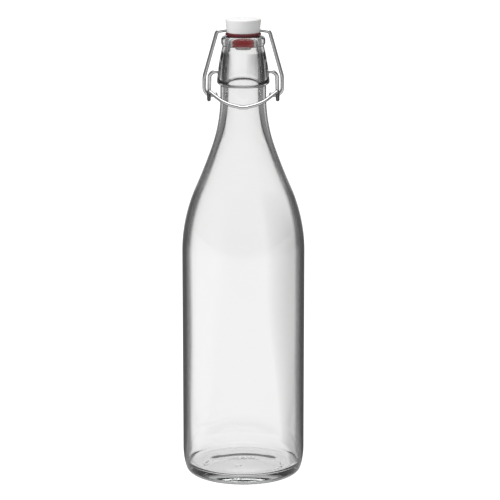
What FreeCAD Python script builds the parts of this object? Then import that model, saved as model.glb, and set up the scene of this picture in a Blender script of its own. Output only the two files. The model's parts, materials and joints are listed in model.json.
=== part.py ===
import FreeCAD, Part
import math
import os
from FreeCAD import Vector

# One-litre swing-top bottle, closed. Millimetres, +Z up, origin at the centre of the base.
# The handle of the lever is in front, on the -Y side. The pivots run along X.

# Glass body
body_radius = 42.5
body_wall = 2.8
neck_radius = 15.8
neck_bore_radius = 10.9
mouth_radius = 9.8
shoulder_start = 158.3
rim_height = 308.5

# Base
bearing_inner_radius = 31.4
heel_start_radius = 35.3
heel_radius = 5.5
heel_flank_angle = 16.0
push_up = 3.0
push_up_fillet = 60.0
floor_height = 7.2
floor_dome = 1.2
inner_heel_radius = 3.8

# Shoulder, as tangent arcs: radius, and the angle from upright that the arc ends at
shoulder_convex = (113.2, 24.0)
shoulder_flank = (368.0, 19.4)
inner_shoulder_start = 157.3
inner_convex = (114.5, 24.8)
inner_flank = (337.8, 18.4)

# Narrowing of the bore below the mouth
narrowing_start = 296.0
narrowing_angle = 15.0
narrowing_bend = 6.0

# Finish: bell-shaped skirt with the lever sockets, waist, and the bead around the mouth
neck_top = 274.1
skirt_fillet = 1.2
skirt_under_angle = 62.0
skirt_edge_radius = 1.75
skirt_radius = 18.1
bell_lean = 4.5
bell_curve_radius = 155.0
bell_turn = 8.5
waist_fillet = 0.8
bead_under_angle = 58.0
bead_radius = 15.15
bead_lower_edge = 2.5
bead_upper_edge = 2.6
bead_height = 6.3
lip_radius = 1.0

# Linkage: pivots as (y, z)
lever_pivot = (0.0, 283.95)
hook_pivot = (1.0, 267.8)
stopper_pivot = (0.0, 312.4)
running_clearance = 0.05

# Lever wire
lever_wire_radius = 1.3
socket_depth_radius = 14.0
socket_end_gap = 0.3
lever_shoulder_x = 23.0
lever_shoulder_bend = 4.6
loop_x = 23.55
loop_radius = 3.4
crest = (-11.0, 272.2)
crest_bend = 2.7
handle_front = (-27.0, 263.3)
handle_corner_x = 9.0
handle_bend = 25.0

# Bail wire
bail_wire_radius = 1.25
bail_exit_x = 12.0
bail_exit_bend = 6.0
bail_shoulder = (17.95, 311.45)
bail_shoulder_bend = 2.5
bail_leg_x = 26.75
bail_knee_height = 280.25
bail_knee_bend = 16.5
hook_radius = 5.15
hook_turn = 110.0
hook_end_run = 2.2

# Stopper and gasket
head_top = 320.4
head_bottom = 310.85
head_top_radius = 12.5
head_bottom_radius = 11.2
head_edge = 0.7
stem_radius = 4.6
tip_bottom = 299.0
tip_radius = 5.55
tip_edge = 0.9
gasket_radius = 12.2
gasket_edge = 0.5
gasket_gap = 0.2
plug_top_radius = 9.35
plug_bottom_radius = 6.5
plug_edge = 2.3
plug_bottom = 301.15

UP = 90.0
OUTWARD = 0.0
INWARD = 180.0
DOWN = 270.0


class Outline:
    """Half outline of a turned shape: straight runs and arcs that leave in the current heading."""

    def __init__(self, radius, height, heading):
        self.here = Vector(radius, 0, height)
        self.heading = heading
        self.edges = []

    def add(self, edge, end):
        self.edges.append(edge)
        self.here = end

    def line_to(self, radius, height):
        end = Vector(radius, 0, height)
        self.heading = math.degrees(math.atan2(end.z - self.here.z, end.x - self.here.x))
        self.add(Part.LineSegment(self.here, end).toShape(), end)

    def run(self, length):
        step = along(self.heading) * length
        self.add(Part.LineSegment(self.here, self.here + step).toShape(), self.here + step)

    def arc_to_heading(self, radius, heading):
        turn = heading - self.heading
        side = math.copysign(1.0, turn)
        centre = self.here + along(self.heading + side * 90.0) * radius
        points = [centre - along(angle + side * 90.0) * radius
                  for angle in (self.heading + turn / 2.0, heading)]
        self.add(Part.Arc(self.here, points[0], points[1]).toShape(), points[1])
        self.heading = heading

    def solid(self):
        """Close the outline along the axis and turn it into a solid of revolution."""
        start = self.edges[0].Vertexes[0].Point
        closing = [Part.LineSegment(self.here, start).toShape()]
        wire = Part.Wire(Part.__sortEdges__(self.edges + closing))
        return Part.Face(wire).revolve(Vector(0, 0, 0), Vector(0, 0, 1), 360)


def along(heading):
    angle = math.radians(heading)
    return Vector(math.cos(angle), 0, math.sin(angle))


def rounded_path(corners):
    """Wire through the corners, each (point, bend radius), with a tangent arc at each one."""
    edges = []
    last = corners[0][0]
    for before, corner, after in zip(corners, corners[1:], corners[2:]):
        point, radius = corner
        back = (before[0] - point).normalize()
        ahead = (after[0] - point).normalize()
        half_turn = (math.pi - back.getAngle(ahead)) / 2.0
        reach = radius * math.tan(half_turn)
        start, end = point + back * reach, point + ahead * reach
        inward = (back + ahead).normalize()
        middle = point + inward * (radius / math.cos(half_turn) - radius)
        edges.append(Part.LineSegment(last, start).toShape())
        edges.append(Part.Arc(start, middle, end).toShape())
        last = end
    edges.append(Part.LineSegment(last, corners[-1][0]).toShape())
    return Part.Wire(edges)


def round_wire(corners, radius):
    """Solid round wire bent along the corners."""
    path = rounded_path(corners)
    heading = (corners[1][0] - corners[0][0]).normalize()
    section = Part.Wire(Part.makeCircle(radius, corners[0][0], heading))
    return path.makePipeShell([section], True, False)


def both_sides(half):
    """Corners of a wire that is the same on both sides, from those on the +X side."""
    mirrored = [(Vector(-point.x, point.y, point.z), bend) for point, bend in reversed(half)]
    return mirrored + half


def shoulder(outline, convex, flank, top_radius):
    """Convex arc, long flank and concave arc that ends upright at the top radius."""
    outline.arc_to_heading(convex[0], UP + convex[1])
    outline.arc_to_heading(flank[0], UP + flank[1])
    last = (outline.here.x - top_radius) / (1.0 - math.cos(math.radians(flank[1])))
    outline.arc_to_heading(last, UP)


def outer_surface():
    """Outside of the glass as an outline, from the centre of the base to the lip of the mouth."""
    arch = 2.0 * math.atan(push_up / bearing_inner_radius)
    outline = Outline(0, push_up, OUTWARD)
    arch_radius = bearing_inner_radius / math.sin(arch) - push_up_fillet
    outline.arc_to_heading(arch_radius, -math.degrees(arch))
    outline.arc_to_heading(push_up_fillet, OUTWARD)
    outline.run(heel_start_radius - bearing_inner_radius)
    outline.arc_to_heading(heel_radius, UP - heel_flank_angle)
    flank_radius = (body_radius - outline.here.x) / (1.0 - math.cos(math.radians(heel_flank_angle)))
    outline.arc_to_heading(flank_radius, UP)
    outline.run(shoulder_start - outline.here.z)
    shoulder(outline, shoulder_convex, shoulder_flank, neck_radius)
    outline.run(neck_top - outline.here.z)
    outline.arc_to_heading(skirt_fillet, UP - skirt_under_angle)
    edge_reach = skirt_edge_radius * (1.0 - math.cos(math.radians(skirt_under_angle)))
    outline.run((skirt_radius - edge_reach - outline.here.x) / math.sin(math.radians(skirt_under_angle)))
    outline.arc_to_heading(skirt_edge_radius, UP + bell_lean)
    outline.arc_to_heading(bell_curve_radius, UP + bell_lean + bell_turn)
    waist_height = rim_height - bead_height - waist_fillet
    outline.run((waist_height - outline.here.z) / math.cos(math.radians(bell_lean + bell_turn)))
    outline.arc_to_heading(waist_fillet, UP - bead_under_angle)
    edge_reach = bead_lower_edge * (1.0 - math.cos(math.radians(bead_under_angle)))
    outline.run((bead_radius - edge_reach - outline.here.x) / math.sin(math.radians(bead_under_angle)))
    outline.arc_to_heading(bead_lower_edge, UP)
    outline.run(rim_height - bead_upper_edge - outline.here.z)
    outline.arc_to_heading(bead_upper_edge, INWARD)
    outline.run(outline.here.x - mouth_radius - lip_radius)
    outline.arc_to_heading(lip_radius, DOWN)
    return outline


def inner_volume():
    """Space inside the bottle, as a solid that runs past the rim."""
    outline = Outline(0, floor_height + floor_dome, OUTWARD)
    inner_radius = body_radius - body_wall
    flat_radius = inner_radius - inner_heel_radius
    dip = 2.0 * math.degrees(math.atan(floor_dome / flat_radius))
    outline.arc_to_heading(flat_radius / math.sin(math.radians(dip)), -dip)
    outline.arc_to_heading(inner_heel_radius / (1.0 + math.sin(math.radians(dip))), UP)
    outline.run(inner_shoulder_start - outline.here.z)
    shoulder(outline, inner_convex, inner_flank, neck_bore_radius)
    outline.run(narrowing_start - outline.here.z)
    outline.arc_to_heading(narrowing_bend, UP + narrowing_angle)
    ease = narrowing_bend * (1.0 - math.cos(math.radians(narrowing_angle)))
    outline.run((outline.here.x - mouth_radius - ease) / math.sin(math.radians(narrowing_angle)))
    outline.arc_to_heading(narrowing_bend, UP)
    outline.run(rim_height - lip_radius - outline.here.z)
    outline.line_to(0, outline.here.z)
    return outline.solid()


def glass_bottle():
    outline = outer_surface()
    outline.line_to(0, outline.here.z)
    glass = outline.solid().cut(inner_volume())
    y, z = lever_pivot
    for side in (1, -1):
        start = Vector(side * socket_depth_radius, y, z)
        socket = Part.makeCylinder(lever_wire_radius + running_clearance, skirt_radius, start,
                                   Vector(side, 0, 0))
        glass = glass.cut(socket)
    return glass


def loop_corner(point, side):
    """Corner below the loop, on the line that touches the loop's circle and passes the point."""
    y, z = point[0] - hook_pivot[0], point[1] - hook_pivot[1]
    touch = math.atan2(z, y) + side * math.acos(loop_radius / math.hypot(y, z))
    corner_y = loop_radius * math.tan((touch + math.pi / 2.0) / 2.0)
    return Vector(loop_x, hook_pivot[0] + corner_y, hook_pivot[1] - loop_radius)


def lever_wire():
    """Socket end, shoulder, leg, loop that holds the bail's hook, crest, and handle in front."""
    y, z = lever_pivot
    half = [
        (Vector(handle_corner_x, *handle_front), handle_bend),
        (Vector(loop_x, *crest), crest_bend),
        (loop_corner(crest, 1.0), loop_radius),
        (loop_corner(lever_pivot, -1.0), loop_radius),
        (Vector(lever_shoulder_x, y, z), lever_shoulder_bend),
        (Vector(socket_depth_radius + socket_end_gap, y, z), 0),
    ]
    return round_wire(both_sides(half), lever_wire_radius)


def bail_wire():
    """Wire from hook to hook through the stopper, drawn upright and then leaned onto its pivots."""
    hook_height = math.sqrt(hook_radius ** 2 - (loop_x - bail_leg_x + hook_radius) ** 2)
    arc_start = hook_pivot[1] + hook_height
    reach = hook_radius * math.tan(math.radians(hook_turn) / 2.0)
    corner = Vector(bail_leg_x, hook_pivot[0], arc_start - reach)
    heading = Vector(-math.sin(math.radians(hook_turn)), 0, -math.cos(math.radians(hook_turn)))
    y = hook_pivot[0]
    half = [
        (Vector(bail_exit_x, y, stopper_pivot[1]), bail_exit_bend),
        (Vector(bail_shoulder[0], y, bail_shoulder[1]), bail_shoulder_bend),
        (Vector(bail_leg_x, y, bail_knee_height), bail_knee_bend),
        (corner, hook_radius),
        (corner + heading * (reach + hook_end_run), 0),
    ]
    wire = round_wire(both_sides(half), bail_wire_radius)
    lean = math.degrees(math.atan2(hook_pivot[0] - stopper_pivot[0], stopper_pivot[1] - hook_pivot[1]))
    wire.rotate(Vector(0, *hook_pivot), Vector(1, 0, 0), lean)
    return wire


def stopper():
    """Head, stem through the gasket and retaining tip in one moulding, with the bail's bore."""
    outline = Outline(0, tip_bottom, OUTWARD)
    outline.run(tip_radius - tip_edge)
    outline.arc_to_heading(tip_edge, UP)
    outline.run(plug_bottom - outline.here.z)
    outline.line_to(stem_radius, plug_bottom)
    outline.line_to(stem_radius, head_bottom)
    outline.line_to(head_bottom_radius, head_bottom)
    slope = math.atan2(head_top - head_bottom, head_top_radius - head_bottom_radius)
    outline.heading = math.degrees(slope)
    edge_reach = head_edge * math.tan((math.pi - slope) / 2.0)
    outline.run(math.hypot(head_top - head_bottom, head_top_radius - head_bottom_radius) - edge_reach)
    outline.arc_to_heading(head_edge, INWARD)
    outline.line_to(0, head_top)
    start = Vector(-head_top_radius, *stopper_pivot)
    bore = Part.makeCylinder(bail_wire_radius + running_clearance, 2.0 * head_top_radius, start,
                             Vector(1, 0, 0))
    return outline.solid().cut(bore)


def gasket():
    """Rubber seal: a flange that lies over the rim and a tapered plug that enters the mouth."""
    outline = Outline(stem_radius, plug_bottom, OUTWARD)
    slope = math.atan2(rim_height + gasket_gap - plug_bottom, plug_top_radius - plug_bottom_radius)
    outline.run(plug_bottom_radius - plug_edge * math.tan(slope / 2.0) - stem_radius)
    outline.arc_to_heading(plug_edge, math.degrees(slope))
    outline.line_to(plug_top_radius, rim_height + gasket_gap)
    outline.line_to(gasket_radius - gasket_edge, rim_height + gasket_gap)
    outline.arc_to_heading(gasket_edge, UP)
    outline.run(head_bottom - gasket_edge - outline.here.z)
    outline.arc_to_heading(gasket_edge, INWARD)
    outline.line_to(stem_radius, head_bottom)
    return outline.solid()


def main():
    os.makedirs("parts", exist_ok=True)
    nodes = {
        "glass_bottle": glass_bottle,
        "stopper": stopper,
        "gasket": gasket,
        "bail_wire": bail_wire,
        "lever_wire": lever_wire,
    }
    for name, make in nodes.items():
        shape = make()
        if not shape.isValid() or len(shape.Solids) != 1:
            raise RuntimeError(name + " is not one valid solid")
        shape.exportStep("parts/" + name + ".step")
        box = shape.optimalBoundingBox()
        print("%-14s %9.1f mm3  x %.2f to %.2f  y %.2f to %.2f  z %.2f to %.2f" % (
            name, shape.Volume, box.XMin, box.XMax, box.YMin, box.YMax, box.ZMin, box.ZMax))


main()
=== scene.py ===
import json
import math

import bpy
import numpy as np
from mathutils import Matrix, Vector

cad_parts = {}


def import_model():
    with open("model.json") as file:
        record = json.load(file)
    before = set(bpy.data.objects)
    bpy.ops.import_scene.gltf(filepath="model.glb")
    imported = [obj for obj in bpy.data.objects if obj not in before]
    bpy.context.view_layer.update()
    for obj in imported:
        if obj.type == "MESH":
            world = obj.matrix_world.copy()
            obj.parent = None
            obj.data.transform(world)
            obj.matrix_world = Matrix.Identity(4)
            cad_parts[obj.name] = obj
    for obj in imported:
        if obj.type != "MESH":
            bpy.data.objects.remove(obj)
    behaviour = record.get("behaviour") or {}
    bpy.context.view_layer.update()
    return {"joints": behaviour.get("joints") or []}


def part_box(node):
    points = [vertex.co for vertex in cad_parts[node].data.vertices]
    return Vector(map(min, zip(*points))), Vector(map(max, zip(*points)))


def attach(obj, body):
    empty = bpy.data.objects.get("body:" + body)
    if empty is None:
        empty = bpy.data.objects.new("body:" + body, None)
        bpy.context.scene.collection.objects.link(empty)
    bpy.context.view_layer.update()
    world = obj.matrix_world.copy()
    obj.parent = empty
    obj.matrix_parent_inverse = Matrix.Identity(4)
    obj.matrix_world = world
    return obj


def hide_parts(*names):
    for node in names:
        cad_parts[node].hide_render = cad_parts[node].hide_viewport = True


# One-litre swing-top bottle, closed. Sizes are in millimetres and the meshes are made in metres.
# +Z up, handle of the lever in front, on the -Y side.
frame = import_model()

MM = 0.001
UP, OUTWARD, INWARD, DOWN = 90.0, 0.0, 180.0, 270.0

glass_box, stopper_box, gasket_box = (
    [Vector(corner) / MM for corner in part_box(name)] for name in ("glass_bottle", "stopper", "gasket"))
pivots = {joint["name"]: Vector(joint["pos_m"]) / MM for joint in frame["joints"]}

# Glass body
body_radius = glass_box[1].x
rim_height = glass_box[1].z
body_wall = 2.8
neck_radius = 15.8
neck_bore_radius = 10.9
mouth_radius = 9.8
shoulder_start = 158.3
around_glass = 288

# Base
bearing_inner_radius = 31.4
heel_start_radius = 35.3
heel_radius = 5.5
heel_flank_angle = 16.0
push_up = 3.0
push_up_fillet = 60.0
floor_height = 7.2
floor_dome = 1.2
inner_heel_radius = 3.8

# Shoulder, as tangent arcs: radius, and the angle from upright that the arc ends at
shoulder_convex = (113.2, 24.0)
shoulder_flank = (368.0, 19.4)
inner_shoulder_start = 157.3
inner_convex = (114.5, 24.8)
inner_flank = (337.8, 18.4)

# Narrowing of the bore below the mouth
narrowing_start = 296.0
narrowing_angle = 15.0
narrowing_bend = 6.0

# Finish: bell-shaped skirt with the lever sockets, waist, and the bead around the mouth
neck_top = 274.1
skirt_fillet = 1.2
skirt_under_angle = 62.0
skirt_edge_radius = 1.75
skirt_radius = 18.1
bell_lean = 4.5
bell_curve_radius = 155.0
bell_turn = 8.5
waist_fillet = 0.8
bead_under_angle = 58.0
bead_radius = 15.15
bead_lower_edge = 2.5
bead_upper_edge = 2.6
bead_height = 6.3
lip_radius = 1.0

# Traces of the mould: parting line, waves in the inner wall as (times round, turns per metre of
# height, depth), knurl under the base, and raised bars under it as (x, y, heading, length)
seam_height = 0.04
seam_fade = (1.0, 4.0)
inner_waves = ((2, 5.0, 0.035), (3, -8.0, 0.028), (5, 11.0, 0.020), (9, 4.0, 0.012), (13, -6.0, 0.007))
waves_from, waves_to, waves_fade = 16.0, 292.0, 14.0
knurl_height = 0.12
mark_height, mark_share = 0.7, 0.8
mark_radius = 0.7
mark_edge = 0.35
marks = ((-5.2, 5.4, 90.0, 3.6), (-2.6, 5.4, 90.0, 3.6), (1.2, 5.4, 90.0, 3.6),
         (3.8, 6.4, 90.0, 1.6), (6.4, 5.4, 90.0, 3.6), (-3.6, -9.6, 0.0, 3.0),
         (-26.4, 1.5, 60.0, 3.2), (-26.0, -2.4, 120.0, 2.0), (17.6, -16.8, 40.0, 2.6),
         (22.6, -12.6, 60.0, 3.0), (25.2, -6.6, 75.0, 2.4), (26.4, -0.8, 90.0, 3.0))

# Lever wire
lever_wire_radius = 1.3
running_clearance = 0.05
socket_depth_radius = 14.0
socket_end_gap = 0.3
socket_length = 8.0
lever_shoulder_x = 23.0
lever_shoulder_bend = 4.6
loop_x = 23.55
loop_radius = 3.4
crest = (-11.0, 272.2)
crest_bend = 2.7
handle_front = (-27.0, 263.3)
handle_corner_x = 9.0
handle_bend = 25.0

# Bail wire
bail_wire_radius = 1.25
bail_exit_x = 12.0
bail_exit_bend = 6.0
bail_shoulder = (17.95, 311.45)
bail_shoulder_bend = 2.5
bail_leg_x = 26.75
bail_knee_height = 280.25
bail_knee_bend = 16.5
hook_radius = 5.15
hook_turn = 110.0
hook_end_run = 2.2

# Stopper and gasket
head_bottom = gasket_box[1].z
head_top_radius = 12.5
head_bottom_radius = 11.2
head_top_edge = 1.1
head_bottom_edge = 0.3
gate_radius, gate_depth = 1.6, 0.35
stem_radius = 4.6
stem_gap = 0.02
tip_radius = 5.55
tip_edge = 0.9
tip_top_edge = 0.2
gasket_gap = 0.2
plug_top_radius = 9.35
plug_bottom_radius = 6.5
plug_edge = 2.3


class Outline:
    """Half outline of a turned piece as (radius, height) points, made of runs and arcs."""

    def __init__(self, radius, height, heading, step=1.6, turn_step=7.0):
        self.points = [(radius, height)]
        self.heading = heading
        self.step = step
        self.turn_step = turn_step

    @property
    def radius(self):
        return self.points[-1][0]

    @property
    def height(self):
        return self.points[-1][1]

    def line_to(self, radius, height):
        start_radius, start_height = self.points[-1]
        across, rise = radius - start_radius, height - start_height
        self.heading = math.degrees(math.atan2(rise, across))
        count = max(1, math.ceil(math.hypot(across, rise) / self.step))
        for i in range(1, count + 1):
            self.points.append((start_radius + across * i / count, start_height + rise * i / count))

    def run(self, length):
        heading = self.heading
        angle = math.radians(heading)
        self.line_to(self.radius + length * math.cos(angle), self.height + length * math.sin(angle))
        self.heading = heading

    def arc_to_heading(self, radius, heading):
        turn = heading - self.heading
        side = math.copysign(90.0, turn)
        angle = math.radians(self.heading + side)
        centre = (self.radius + radius * math.cos(angle), self.height + radius * math.sin(angle))
        length = radius * abs(math.radians(turn))
        count = max(3, math.ceil(abs(turn) / self.turn_step), math.ceil(length / self.step))
        for i in range(1, count + 1):
            angle = math.radians(self.heading + turn * i / count + side)
            self.points.append((centre[0] - radius * math.cos(angle),
                                centre[1] - radius * math.sin(angle)))
        self.heading = heading


def smooth(value, start, end):
    """0 below start, 1 above end and an S-curve between them."""
    t = np.clip((value - start) / (end - start), 0.0, 1.0)
    return t * t * (3.0 - 2.0 * t)


def new_object(name, data):
    piece = bpy.data.objects.new(name, data)
    bpy.context.collection.objects.link(piece)
    return piece


def turned(name, radii, heights, angles):
    """Closed mesh of revolution. radii and heights are rings by angles, with a pole at each end."""
    rings, count = radii.shape
    vertices = [(0.0, 0.0, heights[0, 0] * MM)]
    for ring in range(1, rings - 1):
        vertices += [(r * math.cos(a) * MM, r * math.sin(a) * MM, h * MM)
                     for r, h, a in zip(radii[ring], heights[ring], angles)]
    vertices.append((0.0, 0.0, heights[-1, 0] * MM))
    faces = []
    last = len(vertices) - 1
    top = last - count
    for j in range(count):
        k = (j + 1) % count
        faces.append((0, 1 + k, 1 + j))
        faces.append((last, top + j, top + k))
        for ring in range(rings - 3):
            low, high = 1 + ring * count, 1 + (ring + 1) * count
            faces.append((low + j, low + k, high + k, high + j))
    mesh = bpy.data.meshes.new(name)
    mesh.from_pydata(vertices, [], faces)
    mesh.validate()
    mesh.shade_smooth()
    return new_object(name, mesh)


def plain_turned(name, points, count=160):
    """Mesh of revolution with nothing shaped along its rings."""
    angles = np.arange(count) * (2.0 * math.pi / count)
    points = np.array(points)
    same = np.ones((1, count))
    return turned(name, points[:, :1] * same, points[:, 1:] * same, angles)


def cut(piece, cutters):
    """Boolean difference, with the result put into the mesh."""
    for cutter in cutters:
        modifier = piece.modifiers.new("cut", "BOOLEAN")
        modifier.object = cutter
        modifier.solver = "EXACT"
    graph = bpy.context.evaluated_depsgraph_get()
    mesh = bpy.data.meshes.new_from_object(piece.evaluated_get(graph))
    piece.modifiers.clear()
    old = piece.data
    piece.data = mesh
    bpy.data.meshes.remove(old)
    for cutter in cutters:
        bpy.data.objects.remove(cutter)
    mesh.shade_smooth()
    mesh.set_sharp_from_angle(angle=math.radians(40.0))


def rounded_path(corners, turn_step=5.0):
    """Points along a path through the corners, each (point, bend radius), with a tangent arc at each."""
    path = [corners[0][0]]
    for before, corner, after in zip(corners, corners[1:], corners[2:]):
        point, radius = corner
        back = (before[0] - point).normalized()
        ahead = (after[0] - point).normalized()
        half_turn = (math.pi - back.angle(ahead)) / 2.0
        reach = radius * math.tan(half_turn)
        centre = point + (back + ahead).normalized() * (radius / math.cos(half_turn))
        spoke_a, spoke_b = point + back * reach - centre, point + ahead * reach - centre
        turn = 2.0 * half_turn
        count = max(2, math.ceil(math.degrees(turn) / turn_step))
        for i in range(count + 1):
            share = turn * i / count
            spoke = spoke_a * math.sin(turn - share) + spoke_b * math.sin(share)
            path.append(centre + spoke / math.sin(turn))
    path.append(corners[-1][0])
    return path


def wire(name, path, radius, around=32, chamfer=0.28):
    """Round wire along a path, with its cut ends' edges broken, and a UV map along and around it."""
    befores, afters = [path[0]] + path[:-1], path[1:] + [path[-1]]
    headings = [(after - before).normalized() for before, after in zip(befores, afters)]
    side = headings[0].orthogonal().normalized()
    rings = []
    for point, heading in zip(path, headings):
        side = (side - heading * side.dot(heading)).normalized()
        rings.append((point, side, heading.cross(side), radius))
    broken = radius * chamfer
    for first, sign in ((True, 1.0), (False, -1.0)):
        place = 0 if first else -1
        point, u, v, _ = rings[place]
        end = [(point, u, v, radius / 2.0), (point, u, v, radius - broken),
               (point + headings[place] * sign * broken, u, v, radius)]
        if first:
            rings[:1] = end
        else:
            rings[-1:] = end[::-1]
    vertices = []
    for point, u, v, r in rings:
        for j in range(around):
            angle = 2.0 * math.pi * j / around
            vertices.append((point + u * (r * math.cos(angle)) + v * (r * math.sin(angle))) * MM)
    vertices += [rings[0][0] * MM, rings[-1][0] * MM]
    start, end = len(vertices) - 2, len(vertices) - 1
    lengths = [0.0]
    for a, b in zip(rings, rings[1:]):
        lengths.append(lengths[-1] + (b[0] - a[0]).length * MM)
    faces, uvs = [], []
    for i in range(len(rings) - 1):
        for j in range(around):
            k = (j + 1) % around
            faces.append((i * around + j, i * around + k, (i + 1) * around + k, (i + 1) * around + j))
            uvs += [(lengths[i], j / around), (lengths[i], (j + 1) / around),
                    (lengths[i + 1], (j + 1) / around), (lengths[i + 1], j / around)]
    base = (len(rings) - 1) * around
    for j in range(around):
        k = (j + 1) % around
        faces += [(start, k, j), (end, base + j, base + k)]
        uvs += [(0.0, 0.0)] * 6
    mesh = bpy.data.meshes.new(name)
    mesh.from_pydata(vertices, [], faces)
    for loop, uv in zip(mesh.uv_layers.new(name="along").data, uvs):
        loop.uv = uv
    mesh.shade_smooth()
    mesh.set_sharp_from_angle(angle=math.radians(50.0))
    return new_object(name, mesh)


# ---- Materials ----

# Glass. Its side and skirt shades are painted shade, darkening its colour in place of the dark bands
# that bending and reflection in the glass would show. The stops of a shade go by how far the surface
# turns away from the eye. Surfaces tilted past level_tilt have no side shade. The skirt's painted shade
# starts beside the neck's bore, at skirt_start times its radius, and fades over skirt_fade mm above the
# neck and below the bead.
glass_colour = (0.952, 0.953, 0.95)
painted_side_shade = [(0.55, glass_colour), (0.60, 0.65), (0.645, 0.22), (0.70, 0.06), (0.80, 0.025)]
painted_skirt_shade = [(0.17, glass_colour), (0.24, 0.16), (0.44, 0.05), (0.52, glass_colour)]
skirt_start = (1.15, 1.2)
skirt_fade = (2.0, 6.0)
level_tilt = (0.35, 0.6)
depth_colour = (0.765, 0.78, 0.77, 1.0)
depth_density = 18.0

# Other pieces: colours as stops in a noise, and the wire's painted shade towards its edges. The rubber's
# flange colours are darkened by painted shade and its plug colours brightened by painted light; the
# plug's colour gives way to the flange's from plug_fade mm below the rim.
plastic_colours = [(0.3, (0.80, 0.80, 0.79)), (0.7, (0.86, 0.86, 0.855))]
painted_shade_flange_colours = [(0.3, (0.09, 0.0015, 0.009)), (0.7, (0.12, 0.0025, 0.012))]
painted_light_plug_colours = [(0.3, (0.64, 0.008, 0.012)), (0.7, (0.76, 0.012, 0.018))]
plug_fade = 0.5
steel_colours = [(0.3, (0.62, 0.62, 0.63)), (0.7, (0.80, 0.80, 0.805))]
painted_wire_edge_shade = [(0.22, 1.0), (0.48, (0.35, 0.35, 0.36)), (0.74, (0.10, 0.10, 0.105))]
steel_roughness = (0.12, 0.24)


def material(name, **sockets):
    """Material with one Principled shader whose sockets are set by name."""
    made = bpy.data.materials.new(name)
    made.use_nodes = True
    shader = made.node_tree.nodes["Principled BSDF"]
    for socket, value in sockets.items():
        shader.inputs[socket.replace("_", " ")].default_value = value
    return made, made.node_tree, shader


def node(tree, kind, links=None, **settings):
    """Node with its settings, and its inputs linked or set from a name-to-value mapping."""
    made = tree.nodes.new(kind)
    for key, value in settings.items():
        setattr(made, key, value)
    for key, value in (links or {}).items():
        if isinstance(value, bpy.types.NodeSocket):
            tree.links.new(value, made.inputs[key])
        else:
            made.inputs[key].default_value = value
    return made


def math_node(tree, operation, *values):
    return node(tree, "ShaderNodeMath", dict(enumerate(values)), operation=operation).outputs[0]


def hypotenuse(tree, first, second):
    squares = [math_node(tree, "MULTIPLY", side, side) for side in (first, second)]
    return math_node(tree, "SQRT", math_node(tree, "ADD", *squares))


def axes_of(tree, vector):
    return node(tree, "ShaderNodeSeparateXYZ", {"Vector": vector}).outputs


def between(tree, value, start, end, low=0.0, high=1.0):
    """low where the value is below start, high above end, and an S-curve between them."""
    links = {"Value": value, "From Min": start, "From Max": end, "To Min": low, "To Max": high}
    return node(tree, "ShaderNodeMapRange", links, interpolation_type="SMOOTHSTEP").outputs["Result"]


def ramp(tree, factor, stops):
    """Colour ramp through (place, colour) stops, where one number stands for a grey."""
    made = node(tree, "ShaderNodeValToRGB", {"Fac": factor})
    elements = made.color_ramp.elements
    while len(elements) < len(stops):
        elements.new(0.5)
    for element, (place, colour) in zip(elements, stops):
        element.position = place
        element.color = (*colour, 1.0) if isinstance(colour, tuple) else (colour, colour, colour, 1.0)
    return made.outputs["Color"]


def mix_colours(tree, factor, first, second, blend_type="MIX"):
    """The Mix node keeps its colour sockets at 6 and 7, and the colour that it gives at 2."""
    links = {0: factor, 6: first, 7: second}
    return node(tree, "ShaderNodeMix", links, data_type="RGBA", blend_type=blend_type).outputs[2]


def mix_numbers(tree, factor, first, second):
    links = {"Factor": factor, "A": first, "B": second}
    return node(tree, "ShaderNodeMix", links, data_type="FLOAT").outputs["Result"]


def noise(tree, vector, scale, detail):
    links = {"Vector": vector, "Scale": scale, "Detail": detail}
    return node(tree, "ShaderNodeTexNoise", links).outputs["Fac"]


def bump(tree, shader, height, strength, distance):
    made = node(tree, "ShaderNodeBump", {"Height": height, "Strength": strength, "Distance": distance})
    tree.links.new(made.outputs["Normal"], shader.inputs["Normal"])


def clear_glass():
    """Glass that is darker through its depth, with painted shade at the sides of its upright walls and
    in its skirt.
    """
    made, tree, shader = material("clear_glass", Roughness=0.0, IOR=1.52, Transmission_Weight=1.0)
    place = node(tree, "ShaderNodeTexCoord").outputs
    axes = axes_of(tree, place["Object"])
    facing = node(tree, "ShaderNodeLayerWeight", {"Blend": 0.5}).outputs["Facing"]
    tilt = math_node(tree, "ABSOLUTE", axes_of(tree, place["Normal"])["Z"])
    level = between(tree, tilt, *level_tilt)
    # Painted shade: the colour darkens towards the sides of upright walls as they turn away from the
    # eye.
    upright = mix_colours(tree, level, ramp(tree, facing, painted_side_shade), (*glass_colour, 1.0))
    radius = hypotenuse(tree, axes["X"], axes["Y"])
    # Painted shade in the skirt beside the bore, fading out above the neck and below the bead.
    outside = between(tree, radius, *(share * neck_bore_radius * MM for share in skirt_start))
    above = between(tree, axes["Z"], neck_top * MM, (neck_top + skirt_fade[0]) * MM)
    bead_bottom = rim_height - bead_height
    below = between(tree, axes["Z"], (bead_bottom - skirt_fade[1]) * MM, bead_bottom * MM, 1.0, 0.0)
    skirt = math_node(tree, "MULTIPLY", outside, math_node(tree, "MULTIPLY", above, below))
    glass_with_painted_shade = mix_colours(tree, skirt, upright, ramp(tree, facing, painted_skirt_shade))
    tree.links.new(glass_with_painted_shade, shader.inputs["Base Color"])
    depth = node(tree, "ShaderNodeVolumeAbsorption", {"Color": depth_colour, "Density": depth_density})
    tree.links.new(depth.outputs["Volume"], tree.nodes["Material Output"].inputs["Volume"])
    return made


def white_plastic():
    """Moulded plastic with a slight cloud in its colour and a fine grain."""
    made, tree, shader = material(
        "white_plastic", Roughness=0.28, IOR=1.49, Subsurface_Weight=0.08, Subsurface_Scale=0.002)
    place = node(tree, "ShaderNodeTexCoord").outputs["Object"]
    cloud = noise(tree, place, scale=90.0, detail=4.0)
    tree.links.new(ramp(tree, cloud, plastic_colours), shader.inputs["Base Color"])
    grain = noise(tree, place, scale=2200.0, detail=3.0)
    bump(tree, shader, grain, strength=0.12, distance=0.00004)
    return made


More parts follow.
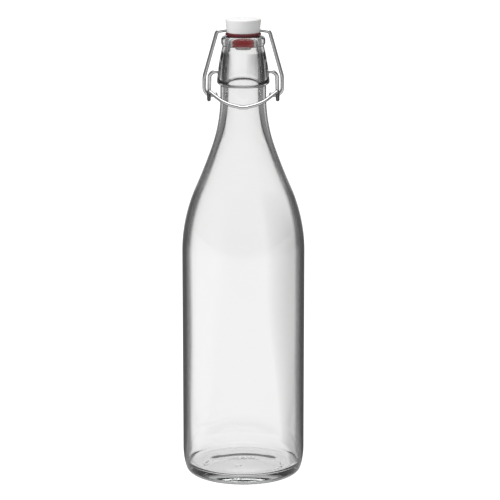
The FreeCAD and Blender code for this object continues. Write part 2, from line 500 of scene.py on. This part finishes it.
def red_rubber():
    """Rubber with painted shade darkening its flange over the rim and painted light brightening its plug
    in the mouth.
    """
    made, tree, shader = material(
        "red_rubber", Roughness=0.42, IOR=1.5, Subsurface_Weight=0.05, Subsurface_Scale=0.001)
    place = node(tree, "ShaderNodeTexCoord").outputs["Object"]
    cloud = noise(tree, place, scale=300.0, detail=5.0)
    # Painted shade on the flange and painted light on the plug: darker and lighter copies of one red.
    flange, plug = ramp(tree, cloud, painted_shade_flange_colours), ramp(tree, cloud, painted_light_plug_colours)
    height = axes_of(tree, place)["Z"]
    above = between(tree, height, (rim_height - plug_fade) * MM, (rim_height + gasket_gap) * MM)
    tree.links.new(mix_colours(tree, above, plug, flange), shader.inputs["Base Color"])
    grain = noise(tree, place, scale=3000.0, detail=4.0)
    bump(tree, shader, grain, strength=0.25, distance=0.00005)
    return made


def steel_wire():
    """Drawn wire: lines along it from the die, and painted shade darkening its edge."""
    made, tree, shader = material("steel_wire", Metallic=1.0)
    along = node(tree, "ShaderNodeUVMap", uv_map="along").outputs["UV"]
    stretch = node(tree, "ShaderNodeMapping", {"Vector": along, "Scale": (60.0, 40.0, 1.0)})
    lines = noise(tree, stretch.outputs["Vector"], scale=1.0, detail=5.0)
    facing = node(tree, "ShaderNodeLayerWeight", {"Blend": 0.5}).outputs["Facing"]
    # Painted shade: the colour darkens towards the wire's edges as they turn away from the eye.
    drawn, edge = ramp(tree, lines, steel_colours), ramp(tree, facing, painted_wire_edge_shade)
    tree.links.new(mix_colours(tree, 1.0, drawn, edge, "MULTIPLY"), shader.inputs["Base Color"])
    tree.links.new(between(tree, lines, 0.0, 1.0, *steel_roughness), shader.inputs["Roughness"])
    bump(tree, shader, lines, strength=0.15, distance=0.00003)
    return made


# ---- Pieces ----

def shoulder(outline, convex, flank, top_radius):
    """Convex arc, long flank and concave arc that ends upright at the top radius."""
    outline.arc_to_heading(convex[0], UP + convex[1])
    outline.arc_to_heading(flank[0], UP + flank[1])
    last = (outline.radius - top_radius) / (1.0 - math.cos(math.radians(flank[1])))
    outline.arc_to_heading(last, UP)


def tangent_reach(radius, turn):
    """How far an arc that turns this many degrees to upright moves across."""
    return radius * (1.0 - math.cos(math.radians(turn)))


def outer_surface():
    """Outside of the glass from the centre of the base to the lip of the mouth."""
    arch = 2.0 * math.degrees(math.atan(push_up / bearing_inner_radius))
    outline = Outline(0.0, push_up, OUTWARD, step=0.7)
    outline.arc_to_heading(bearing_inner_radius / math.sin(math.radians(arch)) - push_up_fillet, -arch)
    outline.arc_to_heading(push_up_fillet, OUTWARD)
    outline.run(heel_start_radius - bearing_inner_radius)
    outline.step = 1.2
    outline.arc_to_heading(heel_radius, UP - heel_flank_angle)
    flank_radius = (body_radius - outline.radius) / (1.0 - math.cos(math.radians(heel_flank_angle)))
    outline.arc_to_heading(flank_radius, UP)
    outline.run(shoulder_start - outline.height)
    shoulder(outline, shoulder_convex, shoulder_flank, neck_radius)
    outline.run(neck_top - outline.height)
    outline.arc_to_heading(skirt_fillet, UP - skirt_under_angle)
    reach = tangent_reach(skirt_edge_radius, skirt_under_angle)
    outline.run((skirt_radius - reach - outline.radius) / math.sin(math.radians(skirt_under_angle)))
    outline.arc_to_heading(skirt_edge_radius, UP + bell_lean)
    outline.arc_to_heading(bell_curve_radius, UP + bell_lean + bell_turn)
    waist_height = rim_height - bead_height - waist_fillet
    outline.run((waist_height - outline.height) / math.cos(math.radians(bell_lean + bell_turn)))
    outline.arc_to_heading(waist_fillet, UP - bead_under_angle)
    reach = tangent_reach(bead_lower_edge, bead_under_angle)
    outline.run((bead_radius - reach - outline.radius) / math.sin(math.radians(bead_under_angle)))
    outline.arc_to_heading(bead_lower_edge, UP)
    outline.run(rim_height - bead_upper_edge - outline.height)
    outline.arc_to_heading(bead_upper_edge, INWARD)
    outline.run(outline.radius - mouth_radius - lip_radius)
    outline.arc_to_heading(lip_radius, DOWN)
    return outline.points


def inner_surface():
    """Inside of the glass from the middle of the floor up to the mouth."""
    outline = Outline(0.0, floor_height + floor_dome, OUTWARD)
    flat_radius = body_radius - body_wall - inner_heel_radius
    dip = 2.0 * math.degrees(math.atan(floor_dome / flat_radius))
    outline.arc_to_heading(flat_radius / math.sin(math.radians(dip)), -dip)
    outline.arc_to_heading(inner_heel_radius / (1.0 + math.sin(math.radians(dip))), UP)
    outline.run(inner_shoulder_start - outline.height)
    shoulder(outline, inner_convex, inner_flank, neck_bore_radius)
    outline.run(narrowing_start - outline.height)
    outline.arc_to_heading(narrowing_bend, UP + narrowing_angle)
    ease = tangent_reach(narrowing_bend, narrowing_angle)
    outline.run((outline.radius - mouth_radius - ease) / math.sin(math.radians(narrowing_angle)))
    outline.arc_to_heading(narrowing_bend, UP)
    return outline.points


def raised_marks(across, back):
    """Height of the raised bars under the base at each point, from 0 to 1."""
    height = np.zeros_like(across)
    for x, y, heading, length in marks:
        angle = math.radians(heading)
        along = (across - x) * math.cos(angle) + (back - y) * math.sin(angle)
        beside = (back - y) * math.cos(angle) - (across - x) * math.sin(angle)
        past = np.abs(along) - np.clip(np.abs(along), 0.0, length / 2.0)
        distance = np.hypot(past, beside)
        bar = 1.0 - smooth(distance, mark_radius - mark_edge, mark_radius + mark_edge)
        height = np.maximum(height, bar)
    return height


def glass_bottle():
    """Outer and inner surface in one closed mesh, with traces of the mould and the two sockets."""
    outer, inner = np.array(outer_surface()), np.array(inner_surface())
    angles = np.arange(around_glass) * (2.0 * math.pi / around_glass)
    same = np.ones((1, around_glass))
    radii, heights = outer[:, :1] * same, outer[:, 1:] * same
    seam = np.zeros(around_glass)
    seam[[0, around_glass // 2]] = seam_height
    moulded = smooth(heights, *seam_fade) * smooth(radii, mouth_radius, mouth_radius + lip_radius)
    radii = radii - moulded * (seam_height - seam)
    under = (radii < bearing_inner_radius) & (heights <= push_up)
    relief = raised_marks(radii * np.cos(angles), radii * np.sin(angles))
    heights = heights - under * np.minimum(relief * mark_height, mark_share * heights)
    knurled = (outer[:, 1] < knurl_height) & (outer[:, 0] > bearing_inner_radius)
    heights[np.ix_(knurled, np.arange(around_glass) % 2 == 1)] += knurl_height
    inner_radii, inner_heights = inner[:, :1] * same, inner[:, 1:] * same
    fade = smooth(inner_heights, waves_from, waves_from + waves_fade)
    fade = fade * (1.0 - smooth(inner_heights, waves_to - waves_fade, waves_to))
    for times, turns, depth in inner_waves:
        phase = times * angles + 2.0 * math.pi * turns * inner_heights * MM
        inner_radii = inner_radii + fade * depth * np.sin(phase)
    piece = turned("glass_bottle_visual", np.vstack([radii, inner_radii[::-1]]),
                   np.vstack([heights, inner_heights[::-1]]), angles)
    pivot = pivots["lever_pivot"]
    cutters = []
    for side in (1.0, -1.0):
        start = Vector((side * socket_depth_radius, pivot.y, pivot.z))
        end = start + Vector((side * socket_length, 0.0, 0.0))
        cutters.append(wire("drill", [start, end], lever_wire_radius + running_clearance))
    cut(piece, cutters)
    piece.data.materials.append(clear_glass())
    return piece


def stopper():
    """Head with a gate mark on top, stem and retaining tip, with the bail's bore."""
    outline = Outline(0.0, stopper_box[0].z, OUTWARD, step=0.8)
    outline.run(tip_radius - tip_edge)
    outline.arc_to_heading(tip_edge, UP)
    outline.run(gasket_box[0].z - tip_top_edge - outline.height)
    outline.arc_to_heading(tip_top_edge, INWARD)
    outline.line_to(stem_radius, outline.height)
    outline.line_to(stem_radius, head_bottom)
    outline.line_to(head_bottom_radius - head_bottom_edge, head_bottom)
    head_top = stopper_box[1].z
    slope = math.degrees(math.atan2(head_top - head_bottom, head_top_radius - head_bottom_radius))
    outline.arc_to_heading(head_bottom_edge, slope)
    rise = head_top - outline.height - head_top_edge * (1.0 + math.cos(math.radians(slope)))
    outline.run(rise / math.sin(math.radians(slope)))
    outline.arc_to_heading(head_top_edge, INWARD)
    outline.line_to(gate_radius, head_top)
    outline.line_to(gate_radius - gate_depth, head_top - gate_depth)
    outline.line_to(0.0, head_top - gate_depth)
    piece = plain_turned("stopper_visual", outline.points)
    reach = Vector((head_top_radius, 0.0, 0.0))
    pivot = pivots["stopper_swivel"]
    bore_radius = bail_wire_radius + running_clearance
    cut(piece, [wire("bore", [pivot - reach, pivot + reach], bore_radius, chamfer=0.0)])
    piece.data.materials.append(white_plastic())
    return piece


def gasket():
    """Flange with a round edge over the rim, and a tapered plug with a round lower edge."""
    bottom, top = gasket_box[0].z, gasket_box[1].z
    inner_radius = stem_radius + stem_gap
    outline = Outline(inner_radius, bottom, OUTWARD, step=0.6)
    slope = math.atan2(rim_height + gasket_gap - bottom, plug_top_radius - plug_bottom_radius)
    outline.run(plug_bottom_radius - plug_edge * math.tan(slope / 2.0) - inner_radius)
    outline.arc_to_heading(plug_edge, math.degrees(slope))
    outline.line_to(plug_top_radius, rim_height + gasket_gap)
    flange_edge = (top - rim_height - gasket_gap) / 2.0
    outline.line_to(gasket_box[1].x - flange_edge, rim_height + gasket_gap)
    outline.heading = OUTWARD
    outline.arc_to_heading(flange_edge, INWARD)
    outline.line_to(inner_radius, top)
    piece = plain_turned("gasket_visual", [(0.0, bottom)] + outline.points + [(0.0, top)])
    piece.data.materials.append(red_rubber())
    return piece


def loop_corner(point, hook, side):
    """Corner below the loop, on the line that touches the loop's circle and passes the point."""
    y, z = point[0] - hook.y, point[1] - hook.z
    touch = math.atan2(z, y) + side * math.acos(loop_radius / math.hypot(y, z))
    corner_y = loop_radius * math.tan((touch + math.pi / 2.0) / 2.0)
    return Vector((loop_x, hook.y + corner_y, hook.z - loop_radius))


def both_sides(half):
    """Corners of a wire that is the same on both sides, from those on the +X side."""
    return [(Vector((-point.x, point.y, point.z)), bend) for point, bend in reversed(half)] + half


def lever_wire(steel):
    """Socket end, shoulder, leg, loop that holds the bail's hook, crest, and handle in front."""
    pivot, hook = pivots["lever_pivot"], pivots["bail_hook"]
    half = [
        (Vector((handle_corner_x, *handle_front)), handle_bend),
        (Vector((loop_x, *crest)), crest_bend),
        (loop_corner(crest, hook, 1.0), loop_radius),
        (loop_corner((pivot.y, pivot.z), hook, -1.0), loop_radius),
        (Vector((lever_shoulder_x, pivot.y, pivot.z)), lever_shoulder_bend),
        (Vector((socket_depth_radius + socket_end_gap, pivot.y, pivot.z)), 0.0),
    ]
    piece = wire("lever_wire_visual", rounded_path(both_sides(half)), lever_wire_radius)
    piece.data.materials.append(steel)
    return piece


def bail_wire(steel):
    """Wire from hook to hook through the stopper, drawn upright and then leaned onto its pivots."""
    hook, swivel = pivots["bail_hook"], pivots["stopper_swivel"]
    turn = math.radians(hook_turn)
    hook_height = math.sqrt(hook_radius ** 2 - (loop_x - bail_leg_x + hook_radius) ** 2)
    reach = hook_radius * math.tan(turn / 2.0)
    corner = Vector((bail_leg_x, hook.y, hook.z + hook_height - reach))
    heading = Vector((-math.sin(turn), 0.0, -math.cos(turn)))
    half = [
        (Vector((bail_exit_x, hook.y, swivel.z)), bail_exit_bend),
        (Vector((bail_shoulder[0], hook.y, bail_shoulder[1])), bail_shoulder_bend),
        (Vector((bail_leg_x, hook.y, bail_knee_height)), bail_knee_bend),
        (corner, hook_radius),
        (corner + heading * (reach + hook_end_run), 0.0),
    ]
    lean = math.atan2(hook.y - swivel.y, swivel.z - hook.z)
    leaned = Matrix.Translation(hook) @ Matrix.Rotation(lean, 4, "X") @ Matrix.Translation(-hook)
    path = [leaned @ point for point in rounded_path(both_sides(half))]
    piece = wire("bail_wire_visual", path, bail_wire_radius)
    piece.data.materials.append(steel)
    return piece


# ---- Stage: floor, surroundings and camera, in metres ----

# Glow of the floor by bearing from the nearer flank of the bottle: degrees from straight behind it,
# positive to the right. A flank is at flank_share of the body's radius. A ray that has gone through
# more surfaces of glass than wall_crossings has passed both walls, and meets near_glow and far_glow.
# A ray straight from the eye meets direct_glow, and all others meet the rim glows. Near changes to far
# over the distances of glow_change, and the floor in front dims over front_fade along Y.
near_glow = [(-180.0, 0.85), (-60.0, 0.85), (-40.0, 0.75), (-28.0, 0.40), (-22.0, 0.45),
             (-18.5, 0.66), (-14.0, 0.80), (-7.0, 0.93), (-1.0, 0.91), (0.0, 0.88), (0.8, 0.80),
             (1.7, 0.72), (3.4, 0.63), (5.0, 0.54), (7.3, 0.46), (9.0, 0.43), (15.0, 0.34),
             (20.0, 0.22), (26.0, 0.20), (40.0, 0.65), (60.0, 0.80), (180.0, 0.85)]
far_glow = [(-180.0, 0.85), (-50.0, 0.82), (-25.0, 0.80), (-13.0, 0.86), (-5.0, 0.91), (0.0, 0.91),
            (5.0, 0.86), (13.0, 0.79), (20.0, 0.72), (28.0, 0.62), (35.0, 0.60), (50.0, 0.74),
            (75.0, 0.82), (180.0, 0.85)]
near_rim_glow = [(-180.0, 0.70), (-80.0, 0.66), (-58.0, 0.50), (-45.0, 0.20), (-37.0, 0.07),
                 (-12.0, 0.07), (0.0, 0.50), (12.0, 0.06), (37.0, 0.06), (45.0, 0.18), (58.0, 0.48),
                 (80.0, 0.66), (180.0, 0.70)]
far_rim_glow = [(-180.0, 0.70), (-80.0, 0.45), (-61.0, 0.10), (-24.0, 0.10), (-14.0, 0.60), (0.0, 0.85),
                (14.0, 0.60), (24.0, 0.08), (61.0, 0.08), (80.0, 0.45), (180.0, 0.70)]
glow_change = (0.75, 1.3)
direct_glow = 1.1
floor_half_width = 9.0
floor_colour = (0.1, 0.1, 0.1, 1.0)
front_fade = (-2.1, -0.4)
front_dim = 0.2
wall_crossings = 3.5
flank_share = 0.75

# Surroundings: the level all round, straight behind the bottle and overhead. The last two come in as
# a direction's part along Y goes through backdrop_from, or its part along Z through overhead_from.
dim_level, backdrop_level, overhead_level = 0.2, 0.7, 2.6
backdrop_from = (0.88, 0.97)
overhead_from = (0.66, 0.85)

key_size = (0.9, 1.3)
key_power = 11.0
key_place = Vector((-1.2, -0.8, 0.6))
key_aim = Vector((0.0, 0.0, 0.25))

camera_place = (0.0046, -1.6485, 0.51865)
camera_pitch = 12.31
camera_lens, camera_sensor = 174.8, 36.0
camera_range = (0.05, 30.0)
white = (1.0, 1.0, 1.0, 1.0)


def floor_pattern(tree, axes, path):
    """Level of the floor at each place, from its bearing and distance beside the bottle."""
    flank = flank_share * body_radius * MM
    beside_flank = node(tree, "ShaderNodeClamp", {"Value": axes["X"], "Min": -flank, "Max": flank})
    beside = math_node(tree, "SUBTRACT", axes["X"], beside_flank.outputs["Result"])
    bearing = math_node(tree, "ARCTAN2", beside, axes["Y"])
    turn = math_node(tree, "MULTIPLY_ADD", bearing, 0.5 / math.pi, 0.5)
    near, far, near_rim, far_rim = [
        ramp(tree, turn, [(0.5 + angle / 360.0, level) for angle, level in glow])
        for glow in (near_glow, far_glow, near_rim_glow, far_rim_glow)]
    change = between(tree, hypotenuse(tree, beside, axes["Y"]), *glow_change)
    crossed = math_node(tree, "GREATER_THAN", path["Transmission Depth"], wall_crossings)
    pattern = mix_colours(tree, crossed, mix_colours(tree, change, near_rim, far_rim),
                          mix_colours(tree, change, near, far))
    front = between(tree, axes["Y"], *front_fade, front_dim, 1.0)
    return math_node(tree, "MULTIPLY", pattern, front)


def floor():
    """Pale floor that glows like a light table, evenly where it is seen directly."""
    w = floor_half_width
    mesh = bpy.data.meshes.new("floor")
    mesh.from_pydata([(-w, -w, 0), (w, -w, 0), (w, w, 0), (-w, w, 0)], [], [(0, 1, 2, 3)])
    made, tree, shader = material("floor_paint", Base_Color=floor_colour, Roughness=1.0,
                                  Specular_IOR_Level=0.0, Emission_Color=white)
    axes = axes_of(tree, node(tree, "ShaderNodeTexCoord").outputs["Object"])
    path = node(tree, "ShaderNodeLightPath").outputs
    pattern = floor_pattern(tree, axes, path)
    glow = mix_numbers(tree, path["Is Camera Ray"], pattern, direct_glow)
    tree.links.new(glow, shader.inputs["Emission Strength"])
    mesh.materials.append(made)
    new_object("floor", mesh)


def world():
    """Dim studio with a lighter backdrop and a large soft light overhead."""
    made = bpy.data.worlds.new("studio")
    made.use_nodes = True
    tree = made.node_tree
    heading = axes_of(tree, node(tree, "ShaderNodeTexCoord").outputs["Generated"])
    level = between(tree, heading["Y"], *backdrop_from, dim_level, backdrop_level)
    overhead = between(tree, heading["Z"], *overhead_from)
    shader = tree.nodes["Background"]
    shader.inputs["Color"].default_value = white
    tree.links.new(mix_numbers(tree, overhead, level, overhead_level), shader.inputs["Strength"])
    bpy.context.scene.world = made


def key_light():
    """Soft light from the front left. It leaves no glint of its own in the glass."""
    lamp = bpy.data.lights.new("key", "AREA")
    lamp.shape = "RECTANGLE"
    lamp.size, lamp.size_y = key_size
    lamp.energy = key_power
    light = new_object("key", lamp)
    light.location = key_place
    light.rotation_euler = (key_aim - key_place).to_track_quat("-Z", "Y").to_euler()
    light.visible_glossy = False
    light.visible_transmission = False


def camera():
    data = bpy.data.cameras.new("camera")
    data.lens, data.sensor_width = camera_lens, camera_sensor
    data.clip_start, data.clip_end = camera_range
    made = new_object("camera", data)
    made.location = camera_place
    made.rotation_euler = (math.radians(90.0 - camera_pitch), 0.0, 0.0)
    bpy.context.scene.camera = made


bpy.context.scene.view_settings.view_transform = "Standard"
floor()
world()
key_light()
camera()

steel = steel_wire()
for piece, body, cad_node, slot in (
    (glass_bottle(), "bottle", "glass_bottle", "clear_glass"),
    (stopper(), "stopper", "stopper", "white_plastic"),
    (gasket(), "stopper", "gasket", "red_rubber"),
    (bail_wire(steel), "bail", "bail_wire", "steel_wire"),
    (lever_wire(steel), "lever", "lever_wire", "steel_wire"),
):
    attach(piece, body)
    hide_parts(cad_node)
